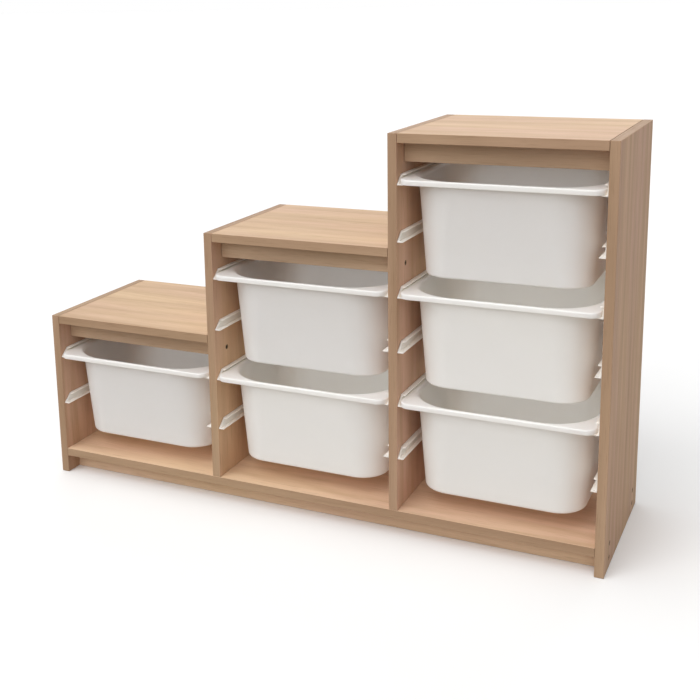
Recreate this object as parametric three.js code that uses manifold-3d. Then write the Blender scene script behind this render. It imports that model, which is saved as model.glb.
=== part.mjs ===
// Stepped storage chest: three open columns of rising height, with bins that slide in channel runners.
// Sizes are in millimetres. X runs from left to right, Y from front to back and Z up. The origin is on the
// floor, under the middle of the chest.

import * as THREE from 'three';
import { mergeVertices } from 'three/addons/utils/BufferGeometryUtils.js';
import Module from 'manifold-3d';

const wasm = await Module();
wasm.setup();

// Carcass
const boardThickness = 18;
const bayWidth = 390; // clear width between two uprights
const carcassDepth = 350;
const plinthHeight = 40; // from the floor to the base board
const plinthRecess = 40; // from the edge of the base board to the face of a plinth
const slotPitch = 110; // from one runner to the next one up
const slotsPerBin = 2;
const binsInFirstColumn = 1;
const binsPerStep = 1; // how many more each column holds than the one on its left
const railHeight = 40;
const railRecess = 40; // from the edge of a top board to the face of a rail
const railClearance = 21; // from the highest runner to the rail over it
const seam = 0.3; // gap in each joint between boards, and behind each runner

// Fasteners
const fitGap = 0.3; // clearance round and past a peg, dowel or screw in its hole
const dowelRadius = 4;
const dowelInset = 62; // from the front or back edge of a board to its dowel
const dowelReachShare = 0.6; // of the board that a dowel enters
const screwHeadRadius = 5;
const screwShankRadius = 3.5;
const screwLength = 50;
const screwSink = 0.6; // from the face of the board down to the screw's head
const socketWidth = 4; // across the flats of the hexagonal socket
const socketDepth = 2.6;
const socketHalfSides = 3; // of the hexagon
const screwSides = 12;
const fixingSides = 8; // of a dowel or a runner peg

// Runners
const runnerWall = 2.2; // of the two lips and the rear stop
const runnerWeb = 3.6; // of the upright part that lies against the board
const lowerLipReach = 12; // from the back of the runner to the edge of its lower lip
const upperLipReach = 10;
const runnerFrontSetback = 2; // from the front edge of the upright
const runnerRearSetback = 22; // from the back edge of the upright
const runnerTipLength = 20; // the slanted cut at the front end
const pegRadius = 2.6;
const pegFromEnd = 36;
const pegReachShare = 0.4; // of the upright that a peg enters

// Bins
const binOverhang = 11; // of the rim in front of the carcass
const binGapBelow = 46; // from the bottom of a bin down to the next slot that holds one
const binWall = 2.4;
const binTaper = 14; // how far each wall leans in between the rim and the bottom
const footCornerRadius = 28; // of the upright corners at the bottom
const bottomEdgeRadius = 12;
const rimPlate = 2.4;
const rimDepth = 12.5; // height of the rim with its skirt
const skirtWall = 2;
const rimEdge = 2; // the softened top edge of the rim
const rimSidePlay = 0.9; // between the rim and the web of the runner
const rimRestPlay = 0.3; // between the skirt and the lower lip
const rimTopPlay = 2; // between the rim and the upper lip
const rimCornerWidth = 13;
const rimCornerDepth = 24;
const sideFlange = 24; // from the side edge of the rim to the opening
const frontLip = 7; // from the front or back edge of the rim to the opening
const openingCorner = 62;
const shoulder = 6; // how far the rounded shoulder runs in from the opening to the wall
const cornerSteps = 6;

// Worked out from the sizes above
const baseTop = plinthHeight + boardThickness;
const runnerHeight = rimRestPlay + rimDepth + rimTopPlay + 2 * runnerWall;
const runnerLength = carcassDepth - runnerFrontSetback - runnerRearSetback;
const headRoom = runnerHeight + railClearance + railHeight + boardThickness;
const dowelReach = dowelReachShare * boardThickness;
const pegReach = pegReachShare * boardThickness;
const cutOverrun = boardThickness;
const rimTop = runnerWall + rimRestPlay + rimDepth; // over the bottom of the runner
const rimWidth = bayWidth - 2 * (seam + runnerWeb + rimSidePlay);
const rimBack = carcassDepth - runnerRearSetback - runnerWall - fitGap;
const rimLength = rimBack + binOverhang;
const binHeight = slotsPerBin * slotPitch - binGapBelow + rimTop;

const columnNames = ['left', 'middle', 'right'];
const columns = columnNames.map((name, index) => {
  const slots = slotsPerBin * (binsInFirstColumn + index * binsPerStep);
  return {
    name,
    slots,
    start: boardThickness + index * (bayWidth + boardThickness),
    top: baseTop + slots * slotPitch + headRoom,
  };
});
const lastColumn = columns[columns.length - 1];
const carcassWidth = lastColumn.start + bayWidth + boardThickness;

const uprightNames = ['side_left', 'divider_left', 'divider_right', 'side_right'];
const uprights = uprightNames.map((name, index) => ({
  name,
  start: index * (bayWidth + boardThickness),
  bottom: name.startsWith('side') ? 0 : baseTop + seam,
  top: (columns[index] ?? lastColumn).top,
}));
const dividers = uprights.filter((upright) => upright.name.startsWith('divider'));

// The front and rear cross boards, each with the place of its front face
const railRows = [
  ['front', railRecess],
  ['rear', carcassDepth - railRecess - boardThickness],
];
const plinthRows = [
  ['front', plinthRecess],
  ['rear', carcassDepth - plinthRecess - boardThickness],
];

const rightward = new THREE.Vector3(1, 0, 0);
const leftward = new THREE.Vector3(-1, 0, 0);
const backward = new THREE.Vector3(0, 1, 0);
const forward = new THREE.Vector3(0, -1, 0);
const upward = new THREE.Vector3(0, 0, 1);
const downward = new THREE.Vector3(0, 0, -1);

const wood = new THREE.MeshStandardMaterial({ color: '#c8a67f', roughness: 0.62, metalness: 0 });
const binPlastic = new THREE.MeshStandardMaterial({ color: '#eeedea', roughness: 0.42, metalness: 0 });
const runnerPlastic = new THREE.MeshStandardMaterial({ color: '#f1eadf', roughness: 0.5, metalness: 0 });
const screwSteel = new THREE.MeshStandardMaterial({ color: '#6f675c', roughness: 0.4, metalness: 0.9 });

// Turns a closed geometry into a solid, leaving out the faces that merging its vertices collapsed.
function solidOf(geometry) {
  const bare = geometry.clone();
  bare.deleteAttribute('normal');
  bare.deleteAttribute('uv');
  const merged = mergeVertices(bare);
  const corners = merged.index.array;
  const kept = [];
  for (let i = 0; i < corners.length; i += 3) {
    const [a, b, c] = [corners[i], corners[i + 1], corners[i + 2]];
    if (a !== b && b !== c && a !== c) kept.push(a, b, c);
  }
  return new wasm.Manifold(new wasm.Mesh({
    numProp: 3,
    vertProperties: new Float32Array(merged.attributes.position.array),
    triVerts: new Uint32Array(kept),
  }));
}

function geometryOf(solid) {
  const mesh = solid.getMesh();
  const geometry = new THREE.BufferGeometry();
  geometry.setAttribute('position', new THREE.BufferAttribute(new Float32Array(mesh.vertProperties), 3));
  geometry.setIndex(new THREE.BufferAttribute(new Uint32Array(mesh.triVerts), 1));
  geometry.computeVertexNormals();
  return geometry;
}

// A box between two opposite corners.
function block(low, high) {
  const size = high.map((value, i) => value - low[i]);
  const geometry = new THREE.BoxGeometry(...size);
  geometry.translate(...low.map((value, i) => value + size[i] / 2));
  return solidOf(geometry);
}

// Stands a geometry that was made along +Y on a point, along a direction.
function stood(geometry, point, direction) {
  geometry.applyQuaternion(new THREE.Quaternion().setFromUnitVectors(backward, direction));
  geometry.translate(...point);
  return solidOf(geometry);
}

function rod(radius, length, sides, point, direction) {
  const geometry = new THREE.CylinderGeometry(radius, radius, length, sides);
  geometry.translate(0, length / 2, 0);
  return stood(geometry, point, direction);
}

// Extrudes an outline. The outline's two axes and the way it is extruded are given as directions.
function prism(outline, acrossAxis, upAxis, alongAxis, length) {
  const shape = new THREE.Shape(outline.map(([a, b]) => new THREE.Vector2(a, b)));
  const geometry = new THREE.ExtrudeGeometry(shape, { depth: length, bevelEnabled: false });
  geometry.applyMatrix4(new THREE.Matrix4().makeBasis(acrossAxis, upAxis, alongAxis));
  return solidOf(geometry);
}

function joined(solids) {
  return solids.reduce((all, solid) => all.add(solid));
}

// The side of a countersunk screw from its tip to the edge of its head, as radius and height, grown by a gap.
function screwSide(gap) {
  const coneStart = screwLength - (screwHeadRadius - screwShankRadius);
  return [
    [0, -gap],
    [screwShankRadius + gap, -gap],
    [screwShankRadius + gap, coneStart],
    [screwHeadRadius + gap, screwLength],
  ];
}

// Revolves a profile that is closed on its axis, with the screw's head sunk below a point on a board's face.
function sunkRevolve(profile, point, direction) {
  const geometry = new THREE.LatheGeometry(profile.map(([r, y]) => new THREE.Vector2(r, y)), screwSides);
  geometry.translate(0, -screwLength - screwSink, 0);
  return stood(geometry, point, direction);
}

function screwHole(point, direction) {
  const mouth = screwLength + cutOverrun;
  return sunkRevolve([...screwSide(fitGap), [screwHeadRadius + fitGap, mouth], [0, mouth]], point, direction);
}

function screwSolid(point, direction) {
  const blank = sunkRevolve([...screwSide(0), [0, screwLength]], point, direction);
  const floor = new THREE.Vector3(...point).addScaledVector(direction, -screwSink - socketDepth);
  const socketRadius = socketWidth / Math.sqrt(socketHalfSides);
  const socket = rod(socketRadius, socketDepth + cutOverrun, 2 * socketHalfSides, floor.toArray(), direction);
  return blank.subtract(socket);
}

// Each screw: its name, the point on the board's face over its head, and the way that the head faces.
function screwList() {
  const rows = [];
  for (const [end, face] of plinthRows) {
    const y = face + boardThickness / 2;
    for (const [name, x, way] of [['side_left', 0, leftward], ['side_right', carcassWidth, rightward]]) {
      rows.push([`screw_${name}_base_${end}`, [x, y, baseTop - boardThickness / 2], way]);
      rows.push([`screw_${name}_plinth_${end}`, [x, y, plinthHeight / 2], way]);
    }
  }
  for (const [end, face] of railRows) {
    dividers.forEach((divider, index) => {
      const x = divider.start + boardThickness;
      const z = columns[index].top - boardThickness - railHeight / 2;
      rows.push([`screw_${divider.name}_rail_${end}`, [x, face + boardThickness / 2, z], rightward]);
    });
  }
  for (const divider of dividers) {
    const place = [divider.start + boardThickness / 2, carcassDepth / 2, plinthHeight];
    rows.push([`screw_base_${divider.name}`, place, downward]);
  }
  return rows;
}

// A dowel is one piece with the board that it stands out of, and is as long inside that board as in its hole.
function dowel(point, direction) {
  const root = new THREE.Vector3(...point).addScaledVector(direction, -dowelReach);
  return rod(dowelRadius, 2 * dowelReach + seam, fixingSides, root.toArray(), direction);
}

function dowelHole(point, direction) {
  return rod(dowelRadius + fitGap, seam + dowelReach + fitGap, fixingSides, point, direction);
}

// The places of the dowels on the two ends of a board across a column, with the way that each points.
function topDowels(column) {
  const z = column.top - boardThickness / 2;
  return [dowelInset, carcassDepth - dowelInset].flatMap((y) => [
    [[column.start + seam, y, z], leftward],
    [[column.start + bayWidth - seam, y, z], rightward],
  ]);
}

// A rail has a dowel on its left end. Its right end has a screw, or a dowel in the last column.
function railDowels(column, y) {
  const z = column.top - boardThickness - railHeight / 2;
  const places = [[[column.start + seam, y, z], leftward]];
  if (column === lastColumn) places.push([[column.start + bayWidth - seam, y, z], rightward]);
  return places;
}

function dividerDowels(divider) {
  const x = divider.start + boardThickness / 2;
  return [dowelInset, carcassDepth - dowelInset].map((y) => [[x, y, divider.bottom], downward]);
}

// The runner's back is the plane x = 0 and it reaches along +X where way is 1, or along -X where it is -1.
// Its front tip is at y = 0, and the underside of its lower lip is the plane z = 0.
function runnerSolid(way) {
  const profile = [
    [0, 0],
    [lowerLipReach, 0],
    [lowerLipReach, runnerWall],
    [runnerWeb, runnerWall],
    [runnerWeb, runnerHeight - runnerWall],
    [upperLipReach, runnerHeight - runnerWall],
    [upperLipReach, runnerHeight],
    [0, runnerHeight],
  ];
  const outline = profile.map(([x, z]) => [way * x, z]);
  const channel = prism(outline, rightward, upward, forward, runnerLength).translate([0, runnerLength, 0]);
  const stopReach = way * upperLipReach;
  const stop = block(
    [Math.min(0, stopReach), runnerLength - runnerWall, 0],
    [Math.max(0, stopReach), runnerLength, runnerHeight],
  );
  const tip = [
    [-cutOverrun, runnerWall],
    [0, runnerWall],
    [runnerTipLength, runnerHeight],
    [runnerTipLength, runnerHeight + cutOverrun],
    [-cutOverrun, runnerHeight + cutOverrun],
  ];
  const tipCut = prism(tip, backward, upward, rightward, 2 * cutOverrun).translate([-cutOverrun, 0, 0]);
  const pegLength = runnerWeb / 2 + seam + pegReach;
  const pegs = pegPlaces().map(([y, z]) => {
    return rod(pegRadius, pegLength, fixingSides, [way * runnerWeb / 2, y, z], intoUpright(way));
  });
  return joined([channel.subtract(tipCut), stop, ...pegs]);
}

// The way that the pegs point, from a runner that reaches the other way
function intoUpright(way) {
  return way > 0 ? leftward : rightward;
}

function pegPlaces() {
  return [pegFromEnd, runnerLength - pegFromEnd].map((y) => [y, runnerHeight / 2]);
}

// Each runner: its name, the corner where it sits, and the way that it reaches into its bay.
function runnerList() {
  return columns.flatMap((column) => {
    return Array.from({ length: column.slots }, (_, i) => i + 1).flatMap((slot) => {
      const z = baseTop + slot * slotPitch;
      return [
        [`runner_${column.name}_${slot}_left`, [column.start + seam, runnerFrontSetback, z], 1],
        [`runner_${column.name}_${slot}_right`, [column.start + bayWidth - seam, runnerFrontSetback, z], -1],
      ];
    });
  });
}

// A ring of points round the origin with elliptical corners. It starts at the right end of its front edge and
// goes round by the right.
function ring(halfWidth, halfLength, cornerWidth, cornerLength, z) {
  const corners = [[1, -1], [1, 1], [-1, 1], [-1, -1]];
  return corners.flatMap(([sideX, sideY], corner) => {
    const centre = [sideX * (halfWidth - cornerWidth), sideY * (halfLength - cornerLength)];
    return Array.from({ length: cornerSteps + 1 }, (_, step) => {
      const angle = (corner - 1 + step / cornerSteps) * Math.PI / 2;
      return [centre[0] + cornerWidth * Math.cos(angle), centre[1] + cornerLength * Math.sin(angle), z];
    });
  });
}

// Skins a stack of rings and closes its first and last ring with a flat cap.
function lofted(rings) {
  const count = rings[0].length;
  const positions = rings.flat(2);
  const faces = [];
  rings.slice(1).forEach((_, level) => {
    for (let j = 0; j < count; j += 1) {
      const next = (j + 1) % count;
      const [a, b] = [level * count + j, level * count + next];
      faces.push(a, b, b + count, a, b + count, a + count);
    }
  });
  const lastStart = (rings.length - 1) * count;
  for (let j = 1; j < count - 1; j += 1) {
    faces.push(0, j + 1, j);
    faces.push(lastStart, lastStart + j, lastStart + j + 1);
  }
  const geometry = new THREE.BufferGeometry();
  geometry.setAttribute('position', new THREE.Float32BufferAttribute(positions, 3));
  geometry.setIndex(faces);
  return solidOf(geometry);
}

// A bin, from the middle of its underside up the outside, over the rim and down the inside. The plane
// z = 0 is the top of the rim, and the origin is at the middle of the rim.
function binSolid() {
  const rim = [rimWidth / 2, rimLength / 2];
  const opening = [rim[0] - sideFlange, rim[1] - frontLip];
  const innerTop = opening.map((half) => half - shoulder);
  const outerTop = innerTop.map((half) => half + binWall);
  const outerFoot = outerTop.map((half) => half - binTaper);
  const innerFoot = innerTop.map((half) => half - binTaper);
  const outerCorner = openingCorner - shoulder + binWall;
  const innerEdge = bottomEdgeRadius - binWall;
  const level = (halves, inset, corner, z) => {
    const [x, y] = halves.map((half) => half - inset);
    return ring(x, y, corner - inset, corner - inset, z);
  };
  const rimLevel = (inset, z) => {
    return ring(rim[0] - inset, rim[1] - inset, rimCornerWidth - inset, rimCornerDepth - inset, z);
  };
  const bend = (radius) => radius * (1 - Math.SQRT1_2);
  return lofted([
    level(outerFoot, bottomEdgeRadius, footCornerRadius, -binHeight),
    level(outerFoot, bend(bottomEdgeRadius), footCornerRadius, bend(bottomEdgeRadius) - binHeight),
    level(outerFoot, 0, footCornerRadius, bottomEdgeRadius - binHeight),
    level(outerTop, 0, outerCorner, -rimPlate),
    rimLevel(skirtWall, -rimPlate),
    rimLevel(skirtWall, -rimDepth),
    rimLevel(0, -rimDepth),
    rimLevel(0, -rimEdge),
    rimLevel(rimEdge, 0),
    level(opening, 0, openingCorner, 0),
    level(opening, shoulder * Math.SQRT1_2, openingCorner, -bend(shoulder)),
    level(innerTop, 0, openingCorner - shoulder, -shoulder),
    level(innerFoot, 0, footCornerRadius - binWall, bottomEdgeRadius - binHeight),
    level(innerFoot, bend(innerEdge), footCornerRadius - binWall, binWall + bend(innerEdge) - binHeight),
    level(innerFoot, innerEdge, footCornerRadius - binWall, binWall - binHeight),
  ]);
}

const chest = new THREE.Group();
chest.position.set(-carcassWidth / 2, -(carcassDepth - binOverhang) / 2, 0);

// Adds a piece that was made in place, and moves its own origin to the given corner.
function addInPlace(name, solid, corner, material) {
  const geometry = geometryOf(solid.translate(corner.map((value) => -value)));
  addPiece(name, geometry, corner, material);
}

function addPiece(name, geometry, position, material) {
  const mesh = new THREE.Mesh(geometry, material);
  mesh.name = name;
  mesh.position.set(...position);
  chest.add(mesh);
}

const screws = screwList();
const screwHoles = joined(screws.map(([, point, way]) => screwHole(point, way)));

function addBoard(name, low, high, cuts, dowels) {
  const cut = cuts.reduce((solid, tool) => solid.subtract(tool), block(low, high));
  addInPlace(name, joined([cut, ...dowels.map((place) => dowel(...place))]), low, wood);
}

// Uprights, with the holes for dowels, runner pegs and screws
const crossDowels = columns.flatMap((column) => [
  ...topDowels(column),
  ...railRows.flatMap(([, y]) => railDowels(column, y + boardThickness / 2)),
]);
const pegHoles = runnerList().flatMap(([, corner, way]) => pegPlaces().map(([y, z]) => {
  const point = [corner[0], corner[1] + y, corner[2] + z];
  return rod(pegRadius + fitGap, seam + pegReach + fitGap, fixingSides, point, intoUpright(way));
}));
const uprightCuts = [screwHoles, joined([...crossDowels.map((place) => dowelHole(...place)), ...pegHoles])];
for (const upright of uprights) {
  const low = [upright.start, 0, upright.bottom];
  const high = [upright.start + boardThickness, carcassDepth, upright.top];
  const dowels = dividers.includes(upright) ? dividerDowels(upright) : [];
  addBoard(upright.name, low, high, uprightCuts, dowels);
}

// Base board and plinths
const acrossLow = boardThickness + seam;
const acrossHigh = carcassWidth - boardThickness - seam;
const baseDowelHoles = joined(dividers.flatMap(dividerDowels).map((place) => dowelHole(...place)));
addBoard('base_panel', [acrossLow, 0, plinthHeight], [acrossHigh, carcassDepth, baseTop],
  [screwHoles, baseDowelHoles], []);
for (const [end, y] of plinthRows) {
  const high = [acrossHigh, y + boardThickness, plinthHeight - seam];
  addBoard(`plinth_${end}`, [acrossLow, y, 0], high, [screwHoles], []);
}

// Top boards and the rails under them
for (const column of columns) {
  const [left, right] = [column.start + seam, column.start + bayWidth - seam];
  const underside = column.top - boardThickness;
  const topHigh = [right, carcassDepth, column.top];
  addBoard(`top_${column.name}`, [left, 0, underside], topHigh, [], topDowels(column));
  for (const [end, y] of railRows) {
    const low = [left, y, underside - railHeight];
    const high = [right, y + boardThickness, underside - seam];
    const dowels = railDowels(column, y + boardThickness / 2);
    addBoard(`rail_${end}_${column.name}`, low, high, [screwHoles], dowels);
  }
}

// Screws
for (const [name, point, way] of screws) {
  addInPlace(name, screwSolid(point, way), point, screwSteel);
}

// Runners
const runnerForms = { 1: geometryOf(runnerSolid(1)), [-1]: geometryOf(runnerSolid(-1)) };
for (const [name, corner, way] of runnerList()) {
  addPiece(name, runnerForms[way], corner, runnerPlastic);
}

// Bins, one in every second slot
const binForm = geometryOf(binSolid());
for (const column of columns) {
  for (let slot = slotsPerBin; slot <= column.slots; slot += slotsPerBin) {
    const middle = [
      column.start + bayWidth / 2,
      rimLength / 2 - binOverhang,
      baseTop + slot * slotPitch + rimTop,
    ];
    addPiece(`bin_${column.name}_${slot}`, binForm, middle, binPlastic);
  }
}

export default chest;
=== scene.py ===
# Looks of the stepped storage chest: rounded boards, moulded bins and runners, screws, light and camera.
# Lengths are in metres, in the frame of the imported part: X to the right, Y to the back and Z up.
import math

import bmesh
import bpy
from mathutils import Matrix, Vector


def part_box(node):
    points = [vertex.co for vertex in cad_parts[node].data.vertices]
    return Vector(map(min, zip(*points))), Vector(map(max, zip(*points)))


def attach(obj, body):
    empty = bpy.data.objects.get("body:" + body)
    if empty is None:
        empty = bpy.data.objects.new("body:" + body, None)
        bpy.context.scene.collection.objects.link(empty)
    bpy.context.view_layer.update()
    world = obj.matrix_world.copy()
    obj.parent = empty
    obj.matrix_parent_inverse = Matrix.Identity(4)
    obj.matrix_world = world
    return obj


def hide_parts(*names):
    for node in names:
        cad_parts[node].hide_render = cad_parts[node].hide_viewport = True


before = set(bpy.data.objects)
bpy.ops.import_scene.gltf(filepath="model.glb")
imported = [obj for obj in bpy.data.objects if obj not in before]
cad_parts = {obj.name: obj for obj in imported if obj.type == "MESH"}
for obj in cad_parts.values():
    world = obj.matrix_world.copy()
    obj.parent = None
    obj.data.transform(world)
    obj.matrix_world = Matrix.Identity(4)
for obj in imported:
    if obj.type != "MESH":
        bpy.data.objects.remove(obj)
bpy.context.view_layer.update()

MM = 0.001

# Boards
SEAM = 0.3 * MM  # between two boards that meet
END_REVEAL = 0.8 * MM  # at the ends of the boards between two uprights
BOARD_ROUND = 0.8 * MM  # of the edges of a board
BOARD_STEPS = 3
COLUMNS = ("left", "middle", "right")
UPRIGHTS = ("side_left", "divider_left", "divider_right", "side_right")
BODY = "carcass"

# Screws
SCREW_STEPS = 24
SCREW_SHARP = 30  # degrees between faces that meet in a sharp edge
SHANK_RADIUS = 3.5 * MM
HEAD_EDGE = 0.4 * MM  # the rounding round the top of a head
SOCKET_FLATS = 4 * MM
SOCKET_DEPTH = 2.6 * MM
HOLE_GAP = 0.3 * MM

# Runners
LIP = 2.2 * MM
WEB = 3.6 * MM
UPPER_LIP_REACH = 10 * MM
TIP_LENGTH = 20 * MM
LIP_ROUND = 0.9 * MM
RUNNER_FILLET = 0.8 * MM
RUNNER_EDGE = 0.35 * MM  # the softening of the cut at the tip and of the ends
RUNNER_EDGE_STEPS = 2
RUNNER_SHARP = 50
ARC_STEPS = 4

# Bins
BIN_SHARP = 50
CORNER_STEPS = 14
FILLET_STEPS = 6
BIN_WALL = 2.4 * MM
BIN_TAPER = (16 * MM, 28 * MM)  # how far the side walls and the end walls lean in
FOOT_CORNER = 57 * MM
FOOT_EDGE = 6 * MM  # the rounding between the underside and the walls
FOOT_DROP = 6 * MM  # from the foot of the CAD bin down to the moulded one's
FOOT_RECESS = 1.2 * MM  # how far the middle of the underside stands up from the foot
FOOT_RECESS_INSET = 24 * MM
RIM_PLATE = 2.4 * MM
RIM_DEPTH = 10.5 * MM
RIM_DROP = 2 * MM  # from the top of the CAD rim to the top of the moulded one
SKIRT_WALL = 2 * MM
SKIRT_EDGE = 0.8 * MM
RIM_EDGE = 3 * MM
RIM_CORNER = (20 * MM, 26 * MM)  # across and along
RIM_ROOT = 3 * MM  # the fillet under the rim, where the wall meets it
SIDE_FLANGE = 6 * MM  # from the side edge of the rim to the opening
FRONT_LIP = 4 * MM  # from the front or back edge of the rim to the opening
OPENING_CORNER = 100 * MM
SHOULDER = 9 * MM  # the rounding from the opening down to the wall


def srgb(red, green, blue):
    """A colour written as 0 to 255, as the linear colour that a shader takes."""
    def linear(value):
        share = value / 255
        return share / 12.92 if share <= 0.04045 else ((share + 0.055) / 1.055) ** 2.4
    return (linear(red), linear(green), linear(blue), 1)


# Materials. The four tones of an oak are pale, blush, dark and pore.

PLASTIC_DEPTH = 8 * MM  # how far light passes within the plastic
CHIP_TONES = (srgb(122, 92, 62), srgb(176, 142, 104))
STEEL_TONES = (srgb(112, 98, 82), srgb(74, 62, 50))
BIN_TONES = (srgb(250, 249, 246), srgb(248, 247, 243))
RUNNER_TONES = (srgb(251, 245, 236), srgb(248, 241, 231))
# The tops take the decor painted darker than the level boards, to offset the strong light that falls on them:
# painted light, not a tone of their own.
TOP_TONES_DARKENED_FOR_LIGHT = (srgb(216, 187, 152), srgb(216, 183, 157), srgb(185, 153, 122), srgb(145, 111, 79))
# The level boards, the base panel among them, take the same decor painted paler: painted light that lifts the
# shade under the bins and boards above them.
LEVEL_TONES_PAINTED_PALER = (srgb(230, 200, 165), srgb(230, 196, 170), srgb(198, 165, 133), srgb(154, 119, 86))
UPRIGHT_TONES = (srgb(215, 181, 147), srgb(212, 175, 153), srgb(182, 147, 118), srgb(146, 110, 80))
# The rails take the decor painted darker: painted shade for their place, recessed under the top boards.
RAIL_TONES_PAINTED_SHADE = (srgb(195, 170, 141), srgb(195, 167, 144), srgb(167, 139, 112), srgb(130, 100, 73))
BAND_TONES = (srgb(181, 153, 124), srgb(181, 150, 125), srgb(153, 125, 99), srgb(123, 95, 69))


def add_node(tree, kind, inputs=None, **settings):
    """Adds a node, with its settings, and with its inputs as values or as the sockets to link."""
    made = tree.nodes.new(kind)
    for name, value in settings.items():
        setattr(made, name, value)
    for key, value in (inputs or {}).items():
        if isinstance(value, bpy.types.NodeSocket):
            tree.links.new(value, made.inputs[key])
        else:
            made.inputs[key].default_value = value
    return made


def new_material(name):
    material = bpy.data.materials.new(name)
    material.use_nodes = True
    material.node_tree.nodes.clear()
    return material, material.node_tree


def finish_material(tree, shader):
    add_node(tree, "ShaderNodeOutputMaterial", {"Surface": shader.outputs[0]})


def math_node(tree, operation, *values):
    return add_node(tree, "ShaderNodeMath", dict(enumerate(values)), operation=operation).outputs[0]


def spread(tree, value, low, high, to_low=0.0, to_high=1.0):
    """Maps a value from one range to another, and clamps it."""
    inputs = {"Value": value, "From Min": low, "From Max": high, "To Min": to_low, "To Max": to_high}
    return add_node(tree, "ShaderNodeMapRange", inputs).outputs["Result"]


def mix_colours(tree, share, first, second):
    mixed = add_node(tree, "ShaderNodeMix", {"Factor": share}, data_type="RGBA")
    for key, value in ((6, first), (7, second)):
        if isinstance(value, bpy.types.NodeSocket):
            tree.links.new(value, mixed.inputs[key])
        else:
            mixed.inputs[key].default_value = value
    return mixed.outputs[2]


def noise(tree, place, scale, detail=2.0, roughness=0.5, distortion=0.0):
    inputs = {"Vector": place, "Scale": scale, "Detail": detail, "Roughness": roughness,
              "Distortion": distortion}
    return add_node(tree, "ShaderNodeTexNoise", inputs).outputs["Fac"]


def object_place(tree):
    return add_node(tree, "ShaderNodeTexCoord").outputs["Object"]


def oak(name, axis, pale, blush, dark, pore):
    """Light oak decor with its grain along an axis: broad soft streaks, faint growth lines, darker flecks,
    short pores, and a drift from a pale tone to a pinker one. Noise scales are per metre, along the grain and
    across it."""
    material, tree = new_material(name)
    place = object_place(tree)

    def along_grain(along, across):
        scale = [across] * 3
        scale[axis] = along
        inputs = {0: place, 1: tuple(scale)}
        return add_node(tree, "ShaderNodeVectorMath", inputs, operation="MULTIPLY").outputs[0]

    drift = spread(tree, noise(tree, along_grain(1.4, 7), 1, 2, 0.5), 0.38, 0.62)
    streaks = spread(tree, noise(tree, along_grain(2.0, 34), 1, 1, 0.4), 0.3, 0.7)
    fine = noise(tree, along_grain(9, 260), 1, 3, 0.6)
    growth = noise(tree, along_grain(0.8, 10), 1, 1, 0.4, 0.3)
    lines = math_node(tree, "SINE", math_node(tree, "MULTIPLY", growth, 70.0))
    lines_share = spread(tree, noise(tree, along_grain(1.5, 6), 1, 0), 0.42, 0.6, 0.04, 0.16)
    flecks = spread(tree, noise(tree, along_grain(14, 260), 1, 2, 0.5), 0.6, 0.75, 0, 0.3)
    pores = spread(tree, noise(tree, along_grain(26, 1100), 1, 2, 0.5), 0.6, 0.72)
    tone = math_node(tree, "MULTIPLY", streaks, 0.55)
    tone = math_node(tree, "ADD", tone, math_node(tree, "MULTIPLY", spread(tree, lines, -1, 1), lines_share))
    tone = math_node(tree, "ADD", tone, spread(tree, fine, 0.3, 0.7, 0, 0.16))
    colour = mix_colours(tree, tone, mix_colours(tree, drift, pale, blush), dark)
    colour = mix_colours(tree, flecks, colour, pore)
    colour = mix_colours(tree, math_node(tree, "MULTIPLY", pores, 0.3), colour, pore)
    height = math_node(tree, "ADD", math_node(tree, "MULTIPLY", pores, -1.0), fine)
    bump = add_node(tree, "ShaderNodeBump", {"Strength": 0.2, "Distance": 0.1 * MM, "Height": height})
    shader = add_node(tree, "ShaderNodeBsdfPrincipled", {
        "Base Color": colour,
        "Roughness": spread(tree, fine, 0.3, 0.7, 0.5, 0.64),
        "Specular IOR Level": 0.1,
        "Normal": bump.outputs[0],
    })
    finish_material(tree, shader)
    return material


def chipboard():
    """The core of a board, which shows inside a screw hole."""
    material, tree = new_material("chipboard_core")
    chips = noise(tree, object_place(tree), 420, 4, 0.6)
    colour = mix_colours(tree, spread(tree, chips, 0.35, 0.65), *CHIP_TONES)
    shader = add_node(tree, "ShaderNodeBsdfPrincipled", {"Base Color": colour, "Roughness": 0.9})
    finish_material(tree, shader)
    return material


def moulded_plastic(name, light, dark, least_rough, most_rough):
    """Satin moulded plastic: a faint drift of tone, a fine texture from the mould, and light that passes
    within it."""
    material, tree = new_material(name)
    place = object_place(tree)
    drift = noise(tree, place, 7, 3, 0.5)
    texture = noise(tree, place, 900, 2, 0.5)
    colour = mix_colours(tree, spread(tree, drift, 0.3, 0.7), light, dark)
    bump = add_node(tree, "ShaderNodeBump", {"Strength": 0.12, "Distance": 0.05 * MM, "Height": texture})
    shader = add_node(tree, "ShaderNodeBsdfPrincipled", {
        "Base Color": colour,
        "Roughness": spread(tree, texture, 0.3, 0.7, least_rough, most_rough),
        "Subsurface Weight": 1,
        "Subsurface Radius": (1, 1, 1),
        "Subsurface Scale": PLASTIC_DEPTH,
        "Normal": bump.outputs[0],
    })
    finish_material(tree, shader)
    return material


def bronzed_steel():
    material, tree = new_material("bronzed_steel")
    stain = noise(tree, object_place(tree), 350, 3, 0.6)
    colour = mix_colours(tree, spread(tree, stain, 0.3, 0.7), *STEEL_TONES)
    shader = add_node(tree, "ShaderNodeBsdfPrincipled", {
        "Base Color": colour,
        "Roughness": spread(tree, stain, 0.3, 0.7, 0.32, 0.5),
        "Metallic": 0.9,
    })
    finish_material(tree, shader)
    return material


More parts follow.
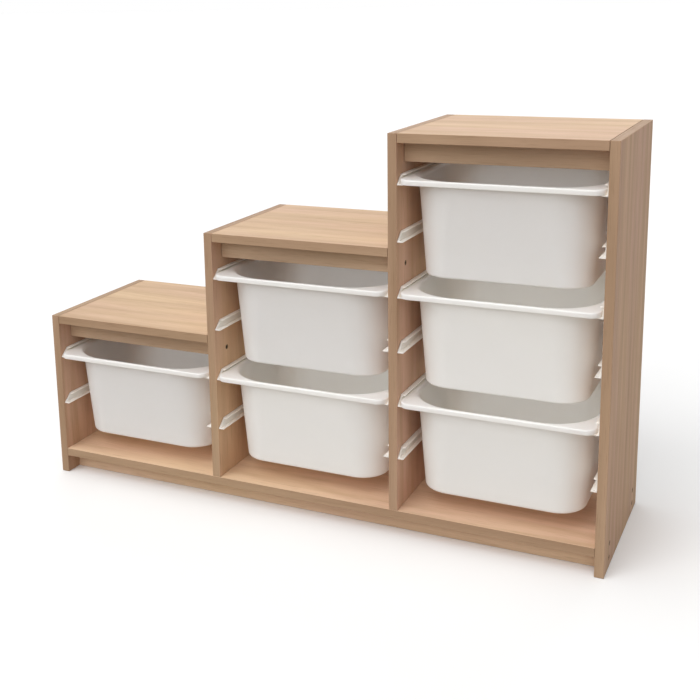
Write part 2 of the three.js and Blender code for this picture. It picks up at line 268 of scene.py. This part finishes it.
face_oak = [
    oak("oak_face_x", 0, *LEVEL_TONES_PAINTED_PALER),
    oak("oak_face_y", 1, *LEVEL_TONES_PAINTED_PALER),
    oak("oak_face_z", 2, *UPRIGHT_TONES),
]
top_oak = oak("oak_top_x", 0, *TOP_TONES_DARKENED_FOR_LIGHT)
rail_oak_painted_shade = oak("oak_rail_x", 0, *RAIL_TONES_PAINTED_SHADE)
band_oak = [oak(f"oak_band_{axis}", i, *BAND_TONES) for i, axis in enumerate("xyz")]
core = chipboard()
bin_plastic = moulded_plastic("bin_plastic", *BIN_TONES, 0.36, 0.46)
runner_plastic = moulded_plastic("runner_plastic", *RUNNER_TONES, 0.42, 0.52)
screw_metal = bronzed_steel()


# Meshes

def new_object(name, mesh):
    made = bpy.data.objects.new(name, mesh)
    bpy.context.scene.collection.objects.link(made)
    return made


def mesh_of(name, points, faces):
    mesh = bpy.data.meshes.new(name)
    mesh.from_pydata(points, [], faces)
    return mesh


def apply_modifiers(made):
    """Puts what the modifiers make of an object's mesh in its place."""
    graph = bpy.context.evaluated_depsgraph_get()
    made.data = bpy.data.meshes.new_from_object(made.evaluated_get(graph), depsgraph=graph)
    made.modifiers.clear()


def smooth(made, sharp_degrees=40):
    """Shades a piece smooth but for its sharp edges, with the large faces kept flat."""
    made.data.shade_smooth()
    made.data.set_sharp_from_angle(angle=math.radians(sharp_degrees))
    weighted = made.modifiers.new("weighted_normals", "WEIGHTED_NORMAL")
    weighted.keep_sharp = True


def skin(rings):
    """Points and faces of a stack of rings, with a flat cap on the first and on the last."""
    count = len(rings[0])
    faces = []
    for level in range(len(rings) - 1):
        for j in range(count):
            a, b = level * count + j, level * count + (j + 1) % count
            faces.append((a, b, b + count, a + count))
    last = (len(rings) - 1) * count
    faces.append(tuple(range(count))[::-1])
    faces.append(tuple(range(last, last + count)))
    return [point for ring in rings for point in ring], faces


def dress(piece, node, body=BODY):
    """Hangs a piece on its body, the carcass unless given, and hides the CAD node that it stands for."""
    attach(piece, body)
    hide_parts(node)


# Screws. Each stands along the way that its head faces.

def circle(radius, height, flats=None):
    """A ring round Z, or a hexagon of the same number of points where it has a size across flats."""
    points = []
    for step in range(SCREW_STEPS):
        angle = 2 * math.pi * step / SCREW_STEPS
        reach = flats / 2 / math.cos(angle % (math.pi / 3) - math.pi / 6) if flats else radius
        points.append((reach * math.cos(angle), reach * math.sin(angle), height))
    return points


def screw_way(node):
    if node.startswith("screw_base"):
        return Vector((0, 0, -1))
    return Vector((-1, 0, 0)) if node.startswith("screw_side_left") else Vector((1, 0, 0))


def screw_place(node):
    """The matrix that stands a screw made round Z on its head's centre, its head's radius and its length."""
    low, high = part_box(node)
    way = screw_way(node)
    size = high - low
    head = (low + high) / 2 + way * abs(size.dot(way)) / 2
    radius = size.y / 2
    turn = way.to_track_quat("Z", "Y").to_matrix().to_4x4()
    return Matrix.Translation(head) @ turn, radius, abs(size.dot(way))


def make_screw(node):
    place, radius, length = screw_place(node)
    cone = radius - SHANK_RADIUS
    rings = [
        circle(SHANK_RADIUS, -length),
        circle(SHANK_RADIUS, -cone - HEAD_EDGE),
        circle(radius, -HEAD_EDGE),
        circle(radius - HEAD_EDGE, 0),
        circle(0, 0, SOCKET_FLATS + HEAD_EDGE),
        circle(0, -HEAD_EDGE / 2, SOCKET_FLATS),
        circle(0, -SOCKET_DEPTH, SOCKET_FLATS),
    ]
    mesh = mesh_of(f"{node}_steel", *skin(rings))
    mesh.transform(place)
    mesh.materials.append(screw_metal)
    screw = new_object(mesh.name, mesh)
    smooth(screw, SCREW_SHARP)
    dress(screw, node)


def screw_hole(node, reach):
    """A cutter with the screw's outline and its clearance, which reaches past both faces of a board."""
    place, radius, _ = screw_place(node)
    cone = radius - SHANK_RADIUS
    rings = [
        circle(SHANK_RADIUS + HOLE_GAP, -reach),
        circle(SHANK_RADIUS + HOLE_GAP, -cone),
        circle(radius + HOLE_GAP, 0),
        circle(radius + HOLE_GAP, reach),
    ]
    mesh = mesh_of(f"{node}_hole", *skin(rings))
    mesh.transform(place)
    mesh.materials.append(core)
    return new_object(mesh.name, mesh)


# Boards

def board_box(node):
    """A board's own box, without the dowels that stand out of it."""
    low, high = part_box(node)
    if node.startswith("divider"):
        low.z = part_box("base_panel")[1].z + SEAM
    if node.startswith(("top", "rail")):
        column = COLUMNS.index(node.split("_")[-1])
        low.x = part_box(UPRIGHTS[column])[1].x + END_REVEAL
        high.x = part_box(UPRIGHTS[column + 1])[0].x - END_REVEAL
    return low, high


def rounded_box(low, high):
    box = bmesh.new()
    bmesh.ops.create_cube(box, size=1)
    size = high - low
    bmesh.ops.scale(box, vec=size, verts=box.verts)
    bmesh.ops.translate(box, vec=(low + high) / 2, verts=box.verts)
    bmesh.ops.bevel(box, geom=box.edges[:], offset=BOARD_ROUND, segments=BOARD_STEPS, profile=0.5,
                    affect="EDGES", clamp_overlap=False)
    return box


def board_materials(node, size):
    """A board's materials by the axis that a face looks along. The grain runs along the board's longest
    side."""
    thin = min(range(3), key=lambda i: size[i])
    long = max(range(3), key=lambda i: size[i])
    other = 3 - thin - long
    # The tops and the rails take copies of the decor with painted light and painted shade.
    face = {"rail": rail_oak_painted_shade, "top": top_oak}.get(node.split("_")[0], face_oak[long])
    by_axis = {thin: face, other: band_oak[long], long: band_oak[other]}
    return [by_axis[i] for i in range(3)]


def make_board(node, screws):
    low, high = board_box(node)
    box = rounded_box(low, high)
    for face in box.faces:
        face.material_index = max(range(3), key=lambda i: abs(face.normal[i]))
    mesh = bpy.data.meshes.new(f"{node}_board")
    box.to_mesh(mesh)
    box.free()
    for material in board_materials(node, high - low):
        mesh.materials.append(material)
    board = new_object(mesh.name, mesh)
    thickness = min(high - low)
    cutters = [screw_hole(screw, 2 * thickness) for screw in screws]
    for cutter in cutters:
        cut = board.modifiers.new("hole", "BOOLEAN")
        cut.object = cutter
        cut.operation = "DIFFERENCE"
        cut.solver = "EXACT"
        cut.material_mode = "TRANSFER"
    if cutters:
        apply_modifiers(board)
    for cutter in cutters:
        bpy.data.objects.remove(cutter)
    smooth(board)
    dress(board, node)


# Runners

def rounded_outline(corners):
    """An outline whose corners, each a point and a radius, are rounded by arcs."""
    points = []
    for i, (corner, radius) in enumerate(corners):
        here = Vector(corner)
        before = (Vector(corners[i - 1][0]) - here).normalized()
        after = (Vector(corners[(i + 1) % len(corners)][0]) - here).normalized()
        if radius == 0:
            points.append(here)
            continue
        start, end = here + before * radius, here + after * radius
        centre = here + (before + after) * radius
        for step in range(ARC_STEPS + 1):
            angle = step / ARC_STEPS * math.pi / 2
            points.append(centre + (start - centre) * math.cos(angle) + (end - centre) * math.sin(angle))
    return points


def runner_mesh(reach, height, length, way):
    """A channel runner with its back on x = 0, its tip at y = 0 and its underside on z = 0."""
    corners = [
        ((0, 0), 0),
        ((reach, 0), LIP_ROUND),
        ((reach, LIP), LIP_ROUND),
        ((WEB, LIP), RUNNER_FILLET),
        ((WEB, height - LIP), RUNNER_FILLET),
        ((UPPER_LIP_REACH, height - LIP), LIP_ROUND),
        ((UPPER_LIP_REACH, height), LIP_ROUND),
        ((0, height), 0),
    ]
    outline = rounded_outline(corners)
    rings = [[(x, y, z) for x, z in outline] for y in (length, 0)]
    channel = bmesh.new()
    points, faces = skin(rings)
    for point in points:
        channel.verts.new(point)
    channel.verts.ensure_lookup_table()
    for face in faces:
        channel.faces.new([channel.verts[i] for i in face])
    slant = Vector((0, -(height - LIP), TIP_LENGTH)).normalized()
    every = channel.verts[:] + channel.edges[:] + channel.faces[:]
    bmesh.ops.bisect_plane(channel, geom=every, plane_co=(0, 0, LIP), plane_no=slant, clear_outer=True)
    bmesh.ops.holes_fill(channel, edges=[e for e in channel.edges if e.is_boundary])
    stop = bmesh.ops.create_cube(channel, size=1)["verts"]
    bmesh.ops.scale(channel, vec=(UPPER_LIP_REACH, LIP, height), verts=stop)
    bmesh.ops.translate(channel, vec=(UPPER_LIP_REACH / 2, length + LIP / 2, height / 2), verts=stop)
    if way < 0:
        bmesh.ops.scale(channel, vec=(-1, 1, 1), verts=channel.verts)
    bmesh.ops.recalc_face_normals(channel, faces=channel.faces)
    mesh = bpy.data.meshes.new("runner")
    channel.to_mesh(mesh)
    channel.free()
    return mesh


def make_runner(node):
    low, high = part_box(node)
    left = node.endswith("left")
    column = COLUMNS.index(node.split("_")[1])
    if left:
        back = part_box(UPRIGHTS[column])[1].x + SEAM
        reach = high.x - back
    else:
        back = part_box(UPRIGHTS[column + 1])[0].x - SEAM
        reach = back - low.x
    mesh = runner_mesh(reach, high.z - low.z, high.y - low.y - LIP, 1 if left else -1)
    mesh.name = f"{node}_channel"
    mesh.transform(Matrix.Translation((back, low.y, low.z)))
    mesh.materials.append(runner_plastic)
    runner = new_object(mesh.name, mesh)
    edge = runner.modifiers.new("edge", "BEVEL")
    edge.width = RUNNER_EDGE
    edge.segments = RUNNER_EDGE_STEPS
    edge.limit_method = "ANGLE"
    edge.angle_limit = math.radians(RUNNER_SHARP)
    apply_modifiers(runner)
    smooth(runner)
    dress(runner, node)


# Bins

def rounded_ring(half_x, half_y, corner_x, corner_y, z):
    """A ring with elliptical corners, from the right end of its front edge round by the right."""
    points = []
    for corner, (side_x, side_y) in enumerate(((1, -1), (1, 1), (-1, 1), (-1, -1))):
        for step in range(CORNER_STEPS + 1):
            angle = (corner - 1 + step / CORNER_STEPS) * math.pi / 2
            x = side_x * (half_x - corner_x) + corner_x * math.cos(angle)
            y = side_y * (half_y - corner_y) + corner_y * math.sin(angle)
            points.append((x, y, z))
    return points


def quarter(radius, start_degrees, end_degrees):
    """Points of an arc round the origin, as steps across and up."""
    for step in range(FILLET_STEPS + 1):
        angle = math.radians(start_degrees + (end_degrees - start_degrees) * step / FILLET_STEPS)
        yield radius * math.cos(angle), radius * math.sin(angle)


def bin_rings(rim_x, rim_y, height):
    """A bin from the middle of its underside up the outside, over the rim and down the inside. The rim's top
    is z = 0."""
    opening = (rim_x - SIDE_FLANGE, rim_y - FRONT_LIP)
    inner_top = [half - SHOULDER for half in opening]
    outer_top = [half + BIN_WALL for half in inner_top]
    outer_foot = [half - taper for half, taper in zip(outer_top, BIN_TAPER)]
    inner_foot = [half - taper for half, taper in zip(inner_top, BIN_TAPER)]
    inner_edge = FOOT_EDGE - BIN_WALL
    outer_corner = OPENING_CORNER - SHOULDER + BIN_WALL

    def level(halves, inset, corner, z):
        return rounded_ring(halves[0] - inset, halves[1] - inset, corner - inset, corner - inset, z)

    def rim(inset, z):
        return rounded_ring(rim_x - inset, rim_y - inset, RIM_CORNER[0] - inset, RIM_CORNER[1] - inset, z)

    rings = [
        level(outer_foot, FOOT_RECESS_INSET, FOOT_CORNER, FOOT_RECESS - height),
        level(outer_foot, FOOT_RECESS_INSET - 2 * FOOT_RECESS, FOOT_CORNER, -height),
    ]
    for across, up in quarter(FOOT_EDGE, -90, 0):
        rings.append(level(outer_foot, FOOT_EDGE - across, FOOT_CORNER, FOOT_EDGE + up - height))
    for across, up in quarter(RIM_ROOT, 180, 90):
        rings.append(level(outer_top, -RIM_ROOT - across, outer_corner, up - RIM_ROOT - RIM_PLATE))
    rings.append(rim(SKIRT_WALL, -RIM_PLATE))
    for across, up in quarter(SKIRT_EDGE, -180, 0):
        inset = SKIRT_WALL / 2 - across * SKIRT_WALL / 2 / SKIRT_EDGE
        rings.append(rim(inset, SKIRT_EDGE + up - RIM_DEPTH))
    for across, up in quarter(RIM_EDGE, 0, 90):
        rings.append(rim(RIM_EDGE - across, up - RIM_EDGE))
    for across, up in quarter(SHOULDER, 90, 180):
        rings.append(level(opening, -across, OPENING_CORNER, up - SHOULDER))
    for across, up in quarter(inner_edge, 0, -90):
        z = FOOT_EDGE + up - height
        rings.append(level(inner_foot, inner_edge - across, FOOT_CORNER - BIN_WALL, z))
    return rings


def make_bin(node):
    low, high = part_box(node)
    size = high - low
    height = size.z - RIM_DROP + FOOT_DROP
    mesh = mesh_of(f"{node}_shell", *skin(bin_rings(size.x / 2, size.y / 2, height)))
    mesh.transform(Matrix.Translation(((low.x + high.x) / 2, (low.y + high.y) / 2, high.z - RIM_DROP)))
    mesh.materials.append(bin_plastic)
    shell = new_object(mesh.name, mesh)
    smooth(shell, BIN_SHARP)
    dress(shell, node, body=node)


# The chest

nodes = sorted(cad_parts)
screws = [node for node in nodes if node.startswith("screw")]
for node in screws:
    make_screw(node)
for node in nodes:
    if node.startswith("runner"):
        make_runner(node)
    elif node.startswith("bin"):
        make_bin(node)
    elif not node.startswith("screw"):
        if node == "base_panel":
            through = [screw for screw in screws if screw.startswith("screw_base")]
        else:
            through = [screw for screw in screws if screw.startswith(f"screw_{node}_")]
        make_board(node, through)


# Floor, light and camera

FLOOR_DROP = 0.5 * MM
FLOOR_HALF = 120
FLOOR_SEEN = srgb(251, 251, 251)
FLOOR_BOUNCE = srgb(168, 161, 152)  # for the light that the floor passes on
AMBIENT = 0.42  # of the surround, for all light but what is seen of it
LAMPS = {  # the way to each lamp, its strength and its spread in degrees
    "key": ((-0.25, -1, 0.84), 1.6, 60),
    "fill": ((0.5, -1, 0.5), 0.3, 30),
    "back": ((-0.3, 1, 0.6), 0.6, 60),
    "top": ((-0.33, -0.22, 1), 0.8, 60),
}
LIGHT_BOUNCES = 16  # a pale bin passes light on many times inside
CAMERA_PLACE = Vector((0.9486, -2.0882, 1.0604))
CAMERA_YAW = math.radians(26.0836)
CAMERA_PITCH = math.radians(-12.2138)
CAMERA_ROLL = math.radians(-1.2442)
CAMERA_FOCAL_PX = 1104.47
CAMERA_CENTRE_PX = (300, 240)
PHOTO_PX = 700


def seen_directly(tree):
    """1 for rays from the camera, from gloss and through glass, and 0 for the light that surfaces pass on."""
    path = add_node(tree, "ShaderNodeLightPath")
    seen = math_node(tree, "MAXIMUM", path.outputs["Is Camera Ray"], path.outputs["Is Glossy Ray"])
    return math_node(tree, "MAXIMUM", seen, path.outputs["Is Transmission Ray"])


def make_floor():
    material, tree = new_material("pale_floor")
    colour = mix_colours(tree, seen_directly(tree), FLOOR_BOUNCE, FLOOR_SEEN)
    finish_material(tree, add_node(tree, "ShaderNodeBsdfDiffuse", {"Color": colour}))
    corners = [(-1, -1), (1, -1), (1, 1), (-1, 1)]
    points = [(x * FLOOR_HALF, y * FLOOR_HALF, -FLOOR_DROP) for x, y in corners]
    mesh = mesh_of("floor", points, [(0, 1, 2, 3)])
    mesh.materials.append(material)
    new_object("floor", mesh)


def make_light():
    world = bpy.data.worlds.new("studio")
    world.use_nodes = True
    tree = world.node_tree
    tree.nodes.clear()
    brightness = spread(tree, seen_directly(tree), 0, 1, AMBIENT, 1)
    background = add_node(tree, "ShaderNodeBackground", {"Color": (1, 1, 1, 1), "Strength": brightness})
    add_node(tree, "ShaderNodeOutputWorld", {"Surface": background.outputs[0]})
    bpy.context.scene.world = world
    for name, (way, strength, spread_degrees) in LAMPS.items():
        sun = bpy.data.lights.new(name, "SUN")
        sun.energy = strength
        sun.angle = math.radians(spread_degrees)
        lamp = new_object(name, sun)
        lamp.matrix_world = Vector(way).to_track_quat("Z", "Y").to_matrix().to_4x4()


def make_camera():
    """Stands the camera as it stood for the photograph."""
    ahead = Vector((
        -math.sin(CAMERA_YAW) * math.cos(CAMERA_PITCH),
        math.cos(CAMERA_YAW) * math.cos(CAMERA_PITCH),
        math.sin(CAMERA_PITCH),
    ))
    level = Vector((math.cos(CAMERA_YAW), math.sin(CAMERA_YAW), 0))
    above = level.cross(ahead)
    right = level * math.cos(CAMERA_ROLL) + above * math.sin(CAMERA_ROLL)
    up = above * math.cos(CAMERA_ROLL) - level * math.sin(CAMERA_ROLL)
    lens = bpy.data.cameras.new("camera")
    lens.lens = CAMERA_FOCAL_PX * lens.sensor_width / PHOTO_PX
    lens.shift_x = 0.5 - CAMERA_CENTRE_PX[0] / PHOTO_PX
    lens.shift_y = CAMERA_CENTRE_PX[1] / PHOTO_PX - 0.5
    camera = new_object("camera", lens)
    turn = Matrix((right, up, -ahead)).transposed().to_4x4()
    camera.matrix_world = Matrix.Translation(CAMERA_PLACE) @ turn
    bpy.context.scene.camera = camera


make_floor()
make_light()
make_camera()
bpy.context.scene.view_settings.view_transform = "Standard"
bpy.context.scene.cycles.max_bounces = LIGHT_BOUNCES
bpy.context.scene.cycles.diffuse_bounces = LIGHT_BOUNCES
